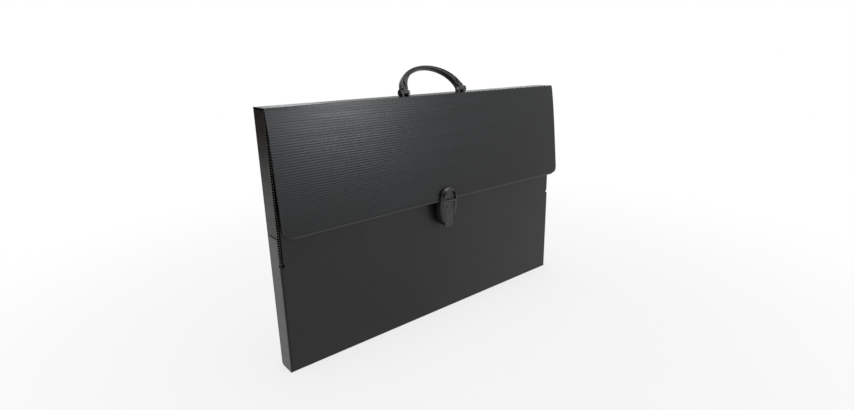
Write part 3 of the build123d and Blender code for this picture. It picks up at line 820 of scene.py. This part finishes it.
@dataclass
class ClosingFlap:
    """The deep front flap: one fluted sheet, bowed out at its free corners."""

    length: float = 142.0 * MM
    corner: float = 12.0 * MM
    corner_reach: float = 20.0 * MM
    columns: int = 44
    flutes: int = 46
    rows: int = 4
    bow: float = 2.9 * MM
    bow_reach: float = 28.0 * MM
    crease: float = 17.0 * MM
    crease_half: float = 1.2 * MM
    crease_depth: float = 0.03 * MM
    edge_roll: float = 2.4 * MM
    edge_drop: float = 0.9 * MM
    nose_roll: float = 0.9 * MM
    nose_drop: float = 0.7 * MM

    def first_flute(self) -> float:
        """Give how far down the flap its first flute starts."""
        return (self.length - self.flutes * FLUTE_PITCH) / 2 + WEB / 2

    def section_stops(self) -> list[float]:
        """List the heights down the flap where its section changes.

        Returns:
            The heights, from its crease to its free edge.
        """
        row = (FLUTE_PITCH - WEB) / self.rows
        first = self.first_flute()
        stops = [0.0, first - WEB]
        for flute in range(self.flutes):
            stops += [first + flute * FLUTE_PITCH + row * step for step in range(self.rows + 1)]
        return sorted(stops + [self.length])

    def model_section(self) -> Piece:
        """Model the flap's cut end: two skins and the webs between them.

        Returns:
            The flat section, across the sheet in x and down it in y.
        """
        stops = self.section_stops()
        layers = (0.0, SKIN, SHEET - SKIN, SHEET)
        across, down = len(layers) - 1, len(stops) - 1
        deselect()
        bpy.ops.mesh.primitive_grid_add(
            x_subdivisions=across, y_subdivisions=down, size=1.0, location=ORIGIN
        )
        section = newest("flap_sheet")

        def place(point: Vector) -> Vector:
            """Send a point of the even grid to its stop."""
            layer, stop = round((point.x + 0.5) * across), round((point.y + 0.5) * down)
            return Vector((-layers[layer], stops[stop], 0.0))

        reshape(section, place)

        def is_flute(centre: Vector, normal: Vector) -> bool:
            """Say whether a face lies in the opening of a flute.

            Args:
                centre: the face's centre.
                normal: its normal, not used.

            Returns:
                Whether it does.
            """
            in_core = -SHEET + SKIN < centre.x < -SKIN
            turn = (centre.y - self.first_flute()) / FLUTE_PITCH
            in_row = 0.0 < turn < self.flutes
            return in_core and in_row and (turn % 1.0) * FLUTE_PITCH < FLUTE_PITCH - WEB

        pick(section, Select.FACES, is_flute)
        bpy.ops.mesh.delete(type="FACE")
        leave_edit()
        return section

    def sculpt(self, point: Vector) -> Vector:
        """Bow, crease and round the flap, and lean it into place.

        Args:
            point: out of the flap in x, down it in y, across it in z.

        Returns:
            The point's place on the case.
        """
        out, down, across = point.x, point.y, point.z
        front = 1.0 + out / SHEET
        tip = max(0.0, down - (self.length - self.corner))
        inset = self.corner - math.sqrt(max(0.0, self.corner**2 - tip**2))
        near_side = max(0.0, (abs(across) - (CASE_HALF - self.corner_reach)) / self.corner_reach)
        across -= math.copysign(inset * near_side, across)
        out += self.bow * (abs(across) / CASE_HALF) ** 2 * (1.0 - math.exp(-down / self.bow_reach))
        groove = max(0.0, 1.0 - abs(down - self.crease) / self.crease_half)
        roll = max(0.0, (down - (self.length - self.edge_roll)) / self.edge_roll)
        nose = max(0.0, 1.0 - down / self.nose_roll)
        out -= front * (
            self.crease_depth * groove + self.edge_drop * roll**2 + self.nose_drop * nose**2
        )
        return FLAP_CREASE + FLAP_DOWN * down + FLAP_OUT * out + RIGHT * across

    def build(self) -> None:
        """Model the sheet, dress it and hang it from the lid."""
        flap = self.model_section()
        flap.location.z = -CASE_HALF
        settle(flap)
        pull_rows(flap, self.columns, 2 * CASE_HALF / self.columns)
        reshape(flap, self.sculpt)
        clean(flap)
        smooth(flap)
        finish = FlutedPlastic(
            "flap_sheet",
            -FLAP_DOWN,
            FLAP_CREASE + FLAP_DOWN * (self.length / 2),
            dark=(0.0070, 0.0080, 0.0090, 1.0),
            pale=(0.0100, 0.0113, 0.0127, 1.0),
            roughness=0.27,
            shine=0.31,
            rib_depth=0.022 * MM,
            crease=self.length / 2 - self.crease,
            # The flap's bottom edge gets a painted highlight band.
            highlight_edge=-self.length / 2,
        )
        dress(flap, finish.build())
        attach(flap, "flap")
        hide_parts("closing_flap")
        tell(flap)


@dataclass
class CarryingHandle:
    """The arched handle, its pins and the anchors under the lid.

    It is modelled upright, with its pivot at the origin, and then leaned back into its place.
    """

    pivot: Triple = (0.0, -3.0 * MM, 316.5 * MM)
    lean: float = 34.0
    outer_half: float = 53.5 * MM
    outer_rise: float = 37.0 * MM
    leg: float = 10.7 * MM
    grip: float = 4.2 * MM
    width: float = 8.0 * MM
    corner: float = 1.7 * MM
    corner_share: float = 0.8
    groove: float = 0.55 * MM
    groove_fade: float = 1.2 * MM
    groove_sides: Pair = (0.80, 0.55)
    end_share: float = 0.01
    rings: int = 72
    arc_points: int = 5
    inner_lug: float = 43.8 * MM
    outer_lug: float = 53.2 * MM
    slot: float = 1.4 * MM
    lug_room: float = 3.9 * MM
    knuckle: float = 4.32 * MM
    knuckle_edge: float = 0.35 * MM
    inner_start: float = 45.2 * MM
    inner_end: float = 51.8 * MM
    outer_end: float = 56.6 * MM
    shoulder: float = 8.5 * MM
    shoulder_round: float = 4.0 * MM
    shoulder_edge: float = 0.5 * MM
    heel_drop: float = 2.35 * MM
    heel: float = 2.4 * MM
    heel_inset: float = 0.2 * MM
    heel_edge: float = 0.3 * MM
    pocket_x: float = 45.5 * MM
    pocket_half: float = 1.0 * MM
    pocket_span: Pair = (6.0 * MM, 15.0 * MM)
    pocket_depth: float = 5.5 * MM
    pocket_round: float = 0.95 * MM
    clear: float = 2.0 * MM

    def section(self, half: float) -> list[Pair]:
        """List the points round the grip, which has a shallow groove along each broad face.

        Args:
            half: half of the grip's thickness here.

        Returns:
            Each point's height over the grip's middle line, and its place from front to back.
        """
        radius = min(self.corner, half * self.corner_share)
        flat = half - radius
        brim = self.width / 2
        bed = brim - self.groove * min(1.0, flat / self.groove_fade)
        top, floor = self.groove_sides
        points = []
        for up, front in ((1, 1), (-1, 1), (-1, -1), (1, -1)):
            turns = [math.pi / 2 * step / (self.arc_points - 1) for step in range(self.arc_points)]
            if up != front:
                turns.reverse()
            for turn in turns:
                height = up * (flat + radius * math.cos(turn))
                points.append((height, front * (brim - radius + radius * math.sin(turn))))
            if up == front:
                for share, level in ((top, brim), (floor, bed), (-floor, bed), (-top, brim)):
                    points.append((up * share * flat, front * level))
        return points

    def model_arch(self) -> Piece:
        """Model the arch, thin along the top and thick down its legs.

        Returns:
            The arch.
        """
        count = len(self.section(self.leg / 2))
        deselect()
        bpy.ops.mesh.primitive_circle_add(
            vertices=count, radius=1.0, fill_type="NGON", location=ORIGIN
        )
        arch = newest("handle_arch")
        pull_rows(arch, self.rings, 1.0)
        inner_half, inner_rise = self.outer_half - self.leg, self.outer_rise - self.grip

        def bend(point: Vector) -> Vector:
            """Send a point of the straight bar to its place on the arch.

            Args:
                point: on the bar, whose rings lie one apart.

            Returns:
                Its place on the upright arch.
            """
            turn = math.atan2(point.y, point.x) / (2 * math.pi) * count
            share = self.end_share + (1.0 - 2 * self.end_share) * point.z / self.rings
            cosine, sine = math.cos(math.pi * share), math.sin(math.pi * share)
            outer = Vector((self.outer_half * cosine, self.outer_rise * sine, 0.0))
            inner = Vector((inner_half * cosine, inner_rise * sine, 0.0))
            across = outer - inner
            height, depth = self.section(across.length / 2)[round(turn) % count]
            return (outer + inner) / 2 + across.normalized() * height + UP * depth

        reshape(arch, bend)
        clean(arch)
        return arch

    def add_foot(self, arch: Piece, side: int) -> None:
        """Join a leg's shoulder, knuckles and heel, and cut its lug slots and its pocket.

        Args:
            arch: the arch to work on.
            side: -1 for the left leg and 1 for the right one.
        """
        half = self.width / 2

        def slab(name: str, start: float, end: float, low: Pair, high: Pair) -> Piece:
            """Make a box across the leg.

            Args:
                name: its name.
                start: its end nearer to the handle's middle.
                end: its end nearer to the handle's side.
                low: its lowest height and depth.
                high: its highest height and depth.

            Returns:
                The box, on this leg's side.
            """
            left, right = (start, end) if side > 0 else (-end, -start)
            return block(name, (left, *low), (right, *high))

        def round_off(piece: Piece, width: float, faces: int, over: float) -> None:
            """Round a box's edges that run from front to back.

            Args:
                piece: the box.
                width: how far each bevel reaches.
                faces: how many faces each bevel has.
                over: only edges above this height are rounded.
            """
            pick(piece, Select.EDGES, lambda centre, run: centre.y > over and abs(run.z) > 0.9)
            bpy.ops.mesh.bevel(offset=width, segments=faces, affect="EDGES")
            leave_edit()

        shoulder = slab(
            "shoulder", self.inner_start, self.outer_half, (0.0, -half), (self.shoulder, half)
        )
        round_off(shoulder, self.shoulder_round, 6, self.shoulder / 2)
        bevel_edges(shoulder, self.shoulder_edge, 50.0)
        combine(arch, shoulder, Tool.JOINS)
        for start, end in (
            (self.inner_start, self.inner_end),
            (self.outer_lug + self.slot, self.outer_end),
        ):
            centre = (side * (start + end) / 2, 0.0, 0.0)
            bar = drum("knuckle", centre, self.knuckle, end - start, (0.0, math.pi / 2, 0.0))
            bevel_edges(bar, self.knuckle_edge)
            combine(arch, bar, Tool.JOINS)
        heel = slab(
            "heel",
            self.inner_start + self.heel_inset,
            self.inner_end - self.heel_inset,
            (-self.heel_drop, -half),
            (self.lug_room, self.heel - half),
        )
        bevel_edges(heel, self.heel_edge)
        combine(arch, heel, Tool.JOINS)
        low, high = (-self.width, -self.width), (self.lug_room, self.width)
        for lug in (self.inner_lug, self.outer_lug):
            combine(arch, slab("room", lug - self.slot, lug + self.slot, low, high), Tool.CUTS)
        bottom, top = self.pocket_span
        pocket = slab(
            "pocket",
            self.pocket_x - self.pocket_half,
            self.pocket_x + self.pocket_half,
            (bottom, half - self.pocket_depth),
            (top, half + self.clear),
        )
        round_off(pocket, self.pocket_round, 4, 0.0)
        combine(arch, pocket, Tool.CUTS)

    def build(self) -> None:
        """Model the arch with its feet, lean it back and dress everything."""
        arch = self.model_arch()
        for side in (-1, 1):
            self.add_foot(arch, side)
        out, down = lean_forward(self.lean)
        pivot = Vector(self.pivot)
        reshape(arch, lambda p: pivot + RIGHT * p.x - down * p.y + out * p.z)
        clean(arch)
        smooth(arch, 40.0)
        dress(arch, MouldedPlastic("handle_black", roughness=0.33, shine=0.4).build())
        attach(arch, "handle")
        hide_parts("handle_grip")
        tell(arch)
        grey = MouldedPlastic(
            "anchor_grey", dark=(0.07, 0.07, 0.07, 1.0), pale=(0.11, 0.11, 0.11, 1.0)
        ).build()
        pins = Steel("pin_steel").build()
        for side in ("left", "right"):
            dress_node(f"handle_anchor_{side}", grey)
            dress_node(f"handle_pin_{side}", pins)


@dataclass
class Latch:
    """The oval latch on the flap, its lever, and the keeper on the front panel."""

    shell_edge: float = 0.3 * MM
    tongue_edge: float = 0.2 * MM
    ear_drop: float = 149.0 * MM
    ear_x: float = 5.4 * MM
    ear_out: float = 5.2 * MM
    ear_radius: float = 1.7 * MM
    ear_wire: float = 0.5 * MM
    ear_stretch: Triple = (0.8, 1.7, 1.0)
    screw_x: float = 6.65 * MM
    screw_drop: float = 133.2 * MM
    screw_seat: float = 2.70 * MM
    head_radius: float = 2.3 * MM
    head_height: float = 1.2 * MM
    head_steps: tuple[Pair, ...] = (
        (0.4 * MM, 0.0),
        (0.1 * MM, -0.35 * MM),
        (0.3 * MM, 0.0),
        (0.1 * MM, 0.25 * MM),
    )
    shank_radius: float = 1.5 * MM
    shank_end: float = -4.6 * MM
    shank_overlap: float = 0.1 * MM
    cross_half: float = 0.22 * MM
    cross_arm: float = 1.0 * MM
    cross_depth: float = 0.6 * MM

    def model_body(self) -> None:
        """Model the oval shell with softened edges."""
        body = copy_node("latch_body", "latch_shell")
        bevel_edges(body, self.shell_edge, 40.0)
        smooth(body, 45.0)
        dress(body, MouldedPlastic("latch_black", roughness=0.24).build())
        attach(body, "flap")
        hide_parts("latch_body")
        tell(body)

    def model_ear(self, side: int) -> Piece:
        """Model one raised ring at the side of the tongue's head.

        Args:
            side: -1 for the left ear and 1 for the right one.

        Returns:
            The ear, in its place.
        """
        deselect()
        bpy.ops.mesh.primitive_torus_add(
            major_radius=self.ear_radius,
            minor_radius=self.ear_wire,
            major_segments=28,
            minor_segments=12,
        )
        ear = newest("ear")
        ear.scale = self.ear_stretch
        settle(ear)
        centre = LATCH_START + LATCH_DOWN * self.ear_drop + LATCH_OUT * self.ear_out
        centre += RIGHT * side * self.ear_x
        reshape(ear, lambda p: centre + RIGHT * p.x - LATCH_DOWN * p.y + LATCH_OUT * p.z)
        return ear

    def model_lever(self) -> None:
        """Model the tongue, with a raised ear at each side of its head."""
        lever = copy_node("latch_lever", "latch_tongue")
        for side in (-1, 1):
            combine(lever, self.model_ear(side), Tool.JOINS)
        bevel_edges(lever, self.tongue_edge, 40.0)
        smooth(lever, 45.0)
        grey = MouldedPlastic("lever_grey", dark=(0.016, 0.017, 0.017, 1.0), roughness=0.36)
        dress(lever, grey.build())
        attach(lever, "lever")
        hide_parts("latch_lever")
        tell(lever)

    def model_screw(self, side: int) -> Piece:
        """Model a screw with a ringed pan head and a cross recess.

        Args:
            side: -1 for the left screw and 1 for the right one.

        Returns:
            The screw, in its place.
        """
        middle = (0.0, 0.0, self.head_height / 2)
        head = drum("latch_screw", middle, self.head_radius, self.head_height)
        pick(head, Select.FACES, lambda centre, normal: normal.z > 0.9)
        for thickness, depth in self.head_steps:
            bpy.ops.mesh.inset(thickness=thickness, depth=depth)
        leave_edit()
        length = self.screw_seat - self.shank_end
        middle = (0.0, 0.0, self.shank_overlap - length / 2)
        combine(head, drum("shank", middle, self.shank_radius, length), Tool.JOINS)
        low, high = self.head_height - self.cross_depth, 2 * self.head_height
        arm = (self.cross_half, self.cross_arm)
        for wide, tall in (arm, arm[::-1]):
            cut = block("cut", (-wide, -tall, low), (wide, tall, high))
            combine(head, cut, Tool.CUTS)
        seat = FLAP_CREASE + FLAP_DOWN * self.screw_drop + FLAP_OUT * self.screw_seat
        seat += RIGHT * side * self.screw_x
        reshape(head, lambda p: seat + RIGHT * p.x - FLAP_DOWN * p.y + FLAP_OUT * p.z)
        return head

    def model_screws(self) -> None:
        """Model both screws of the latch as one piece."""
        left, right = self.model_screw(-1), self.model_screw(1)
        activate(left)
        right.select_set(True)
        bpy.ops.object.join()
        screws = newest("latch_screw_pair")
        clean(screws)
        smooth(screws)
        dress(screws, Steel("black_steel", colour=(0.10, 0.10, 0.105, 1.0)).build())
        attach(screws, "flap")
        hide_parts("latch_screws")
        tell(screws)

    def build(self) -> None:
        """Model the latch's pieces, and dress the solids that stay."""
        self.model_body()
        self.model_lever()
        self.model_screws()
        keeper = MouldedPlastic("keeper_black", roughness=0.3, shine=0.25)
        dress_node("latch_keeper", keeper.build())
        keeper_screws = Steel("keeper_steel", colour=(0.10, 0.10, 0.105, 1.0))
        dress_node("keeper_screws", keeper_screws.build())
        plate = Steel("plate_steel", colour=(0.30, 0.30, 0.31, 1.0)).build()
        for name in ("latch_pin", "latch_backing_plate", "keeper_backing_plate"):
            dress_node(name, plate)


# Studio


@dataclass(frozen=True)
class Softbox:
    """A rectangular lamp that the camera doesn't see."""

    name: str
    place: Triple
    aim: Triple
    size: Pair
    power: float
    tint: Triple = (1.0, 1.0, 1.0)
    lights_colour: bool = True

    def hang(self) -> None:
        """Hang the lamp and turn it to its aim; it may light gloss alone."""
        data = bpy.data.lights.new(self.name, "AREA")
        data.shape = "RECTANGLE"
        data.size, data.size_y = self.size
        data.energy = self.power
        data.color = self.tint
        lamp = bpy.data.objects.new(self.name, data)
        bpy.context.scene.collection.objects.link(lamp)
        lamp.location = self.place
        line = Vector(self.aim) - Vector(self.place)
        lamp.rotation_euler = line.to_track_quat("-Z", "Y").to_euler()
        lamp.visible_camera = False
        lamp.visible_diffuse = self.lights_colour


@dataclass(frozen=True)
class DarkCard:
    """A black card that darkens reflections and nothing else."""

    name: str
    place: Triple
    size: Pair

    def stand(self) -> None:
        """Stand the card upright, turned to the case."""
        deselect()
        bpy.ops.mesh.primitive_plane_add(size=1.0, location=self.place)
        card = newest(self.name)
        card.scale = (*self.size, 1.0)
        line = -Vector((*self.place[:2], 0.0))
        card.rotation_euler = line.to_track_quat("Z", "Y").to_euler()
        paint = Painter(self.name)
        paint.feed(paint.shader, {"Base Color": BLACK, "Specular IOR Level": 0.0})
        dress(card, paint.material)
        card.visible_camera = False
        card.visible_diffuse = False
        card.visible_transmission = False
        card.visible_shadow = False


@dataclass
class Studio:
    """The floor, the lamps, the white surround and the camera."""

    azimuth: float = -39.6684
    elevation: float = 16.1315
    roll: float = -1.2778
    distance: float = 0.71131
    target: Triple = (-0.013164, 0.0, 0.160010)
    lens: float = 21.3523
    sensor: float = 36.0
    nearest: float = 0.01
    fill: float = 0.55
    floor_size: float = 8.0
    floor_grey: Colour = (0.86, 0.86, 0.86, 1.0)
    fade_span: Pair = (0.25, 0.9)
    near_glow: float = 0.75
    lamps: tuple[Softbox, ...] = (
        Softbox(
            "key_softbox", (0.65, -1.31, 0.74), (-0.1, 0.0, 0.28), (0.19, 0.8), 8.4,
            tint=(0.90, 0.96, 1.0), lights_colour=False,
        ),
        Softbox("top_softbox", (0.1, -0.1, 1.9), (0.0, 0.0, 0.0), (1.4, 1.4), 16.0),
        Softbox(
            "back_softbox", (0.44, 1.36, 0.46), (-0.2, 0.0, 0.31), (0.20, 0.4), 0.8,
            tint=(0.93, 0.98, 1.0),
        ),
        Softbox(
            "end_softbox", (1.60, 1.25, 0.42), (0.1, 0.0, 0.31), (0.50, 0.4), 2.0,
            tint=(0.90, 0.97, 1.0),
        ),
    )
    cards: tuple[DarkCard, ...] = (
        DarkCard("camera_card", (-1.35, -1.55, 1.0), (2.6, 2.0)),
        DarkCard("side_card", (-0.75, 1.10, 0.50), (1.3, 1.0)),
    )

    def build(self) -> None:
        """Set up everything round the case."""
        self.place_camera()
        self.light_world()
        self.lay_floor()
        for lamp in self.lamps:
            lamp.hang()
        for card in self.cards:
            card.stand()
        log.info("studio set up")

    def place_camera(self) -> None:
        """Set the camera where the photographer stood."""
        azimuth, elevation, roll = map(math.radians, (self.azimuth, self.elevation, self.roll))
        level = math.cos(elevation)
        back = Vector((math.sin(azimuth) * level, -math.cos(azimuth) * level, math.sin(elevation)))
        right = UP.cross(back).normalized()
        above = back.cross(right)
        across = right * math.cos(roll) + above * math.sin(roll)
        upright = above * math.cos(roll) - right * math.sin(roll)
        data = bpy.data.cameras.new("portrait_camera")
        data.lens = self.lens
        data.sensor_width = self.sensor
        data.clip_start = self.nearest
        camera = bpy.data.objects.new("portrait_camera", data)
        bpy.context.scene.collection.objects.link(camera)
        turn = Matrix((across, upright, back)).transposed().to_4x4()
        place = Vector(self.target) + back * self.distance
        camera.matrix_world = Matrix.Translation(place) @ turn
        bpy.context.scene.camera = camera

    def light_world(self) -> None:
        """Make the surround white to the eye, gloss and glass, and softer as a lamp."""
        world = bpy.data.worlds.new("white_surround")
        bpy.context.scene.world = world
        world.use_nodes = True
        work = NodeWork(world.node_tree)
        work.tree.nodes.clear()
        soft = work.node("ShaderNodeBackground", {"Strength": self.fill})
        white = work.node("ShaderNodeBackground", {"Color": WHITE, "Strength": 1.0})
        mixed = work.mix_shaders(work.looked_at(), soft.outputs[0], white.outputs[0])
        work.node("ShaderNodeOutputWorld", {"Surface": mixed})

    def lay_floor(self) -> None:
        """Lay a pale floor that keeps the case's shadow and fades into the surround."""
        deselect()
        bpy.ops.mesh.primitive_plane_add(size=self.floor_size, location=ORIGIN)
        floor = newest("floor")
        paint = Painter("pale_floor")
        matt = {"Base Color": self.floor_grey, "Roughness": 0.9, "Specular IOR Level": 0.1}
        paint.feed(paint.shader, matt)
        glow = paint.node("ShaderNodeEmission", {"Color": WHITE, "Strength": 1.0})
        place = paint.node("ShaderNodeTexCoord").outputs["Object"]
        reach = paint.node("ShaderNodeVectorMath", {0: place}, operation="LENGTH")
        fade = paint.span(reach.outputs["Value"], *self.fade_span, self.near_glow, 1.0)
        share = paint.math("MULTIPLY", paint.looked_at(), fade)
        mixed = paint.mix_shaders(share, paint.shader.outputs[0], glow.outputs[0])
        paint.feed(paint.tree.nodes["Material Output"], {"Surface": mixed})
        dress(floor, paint.material)


def main() -> None:
    """Build the case in order, from its shell to the studio round it."""
    logging.basicConfig(level=logging.INFO, format="%(message)s")
    bpy.context.scene.view_settings.view_transform = "Standard"
    CaseShell().finish()
    ClosingFlap().build()
    CarryingHandle().build()
    Latch().build()
    Studio().build()


if __name__ == "__main__":
    main()
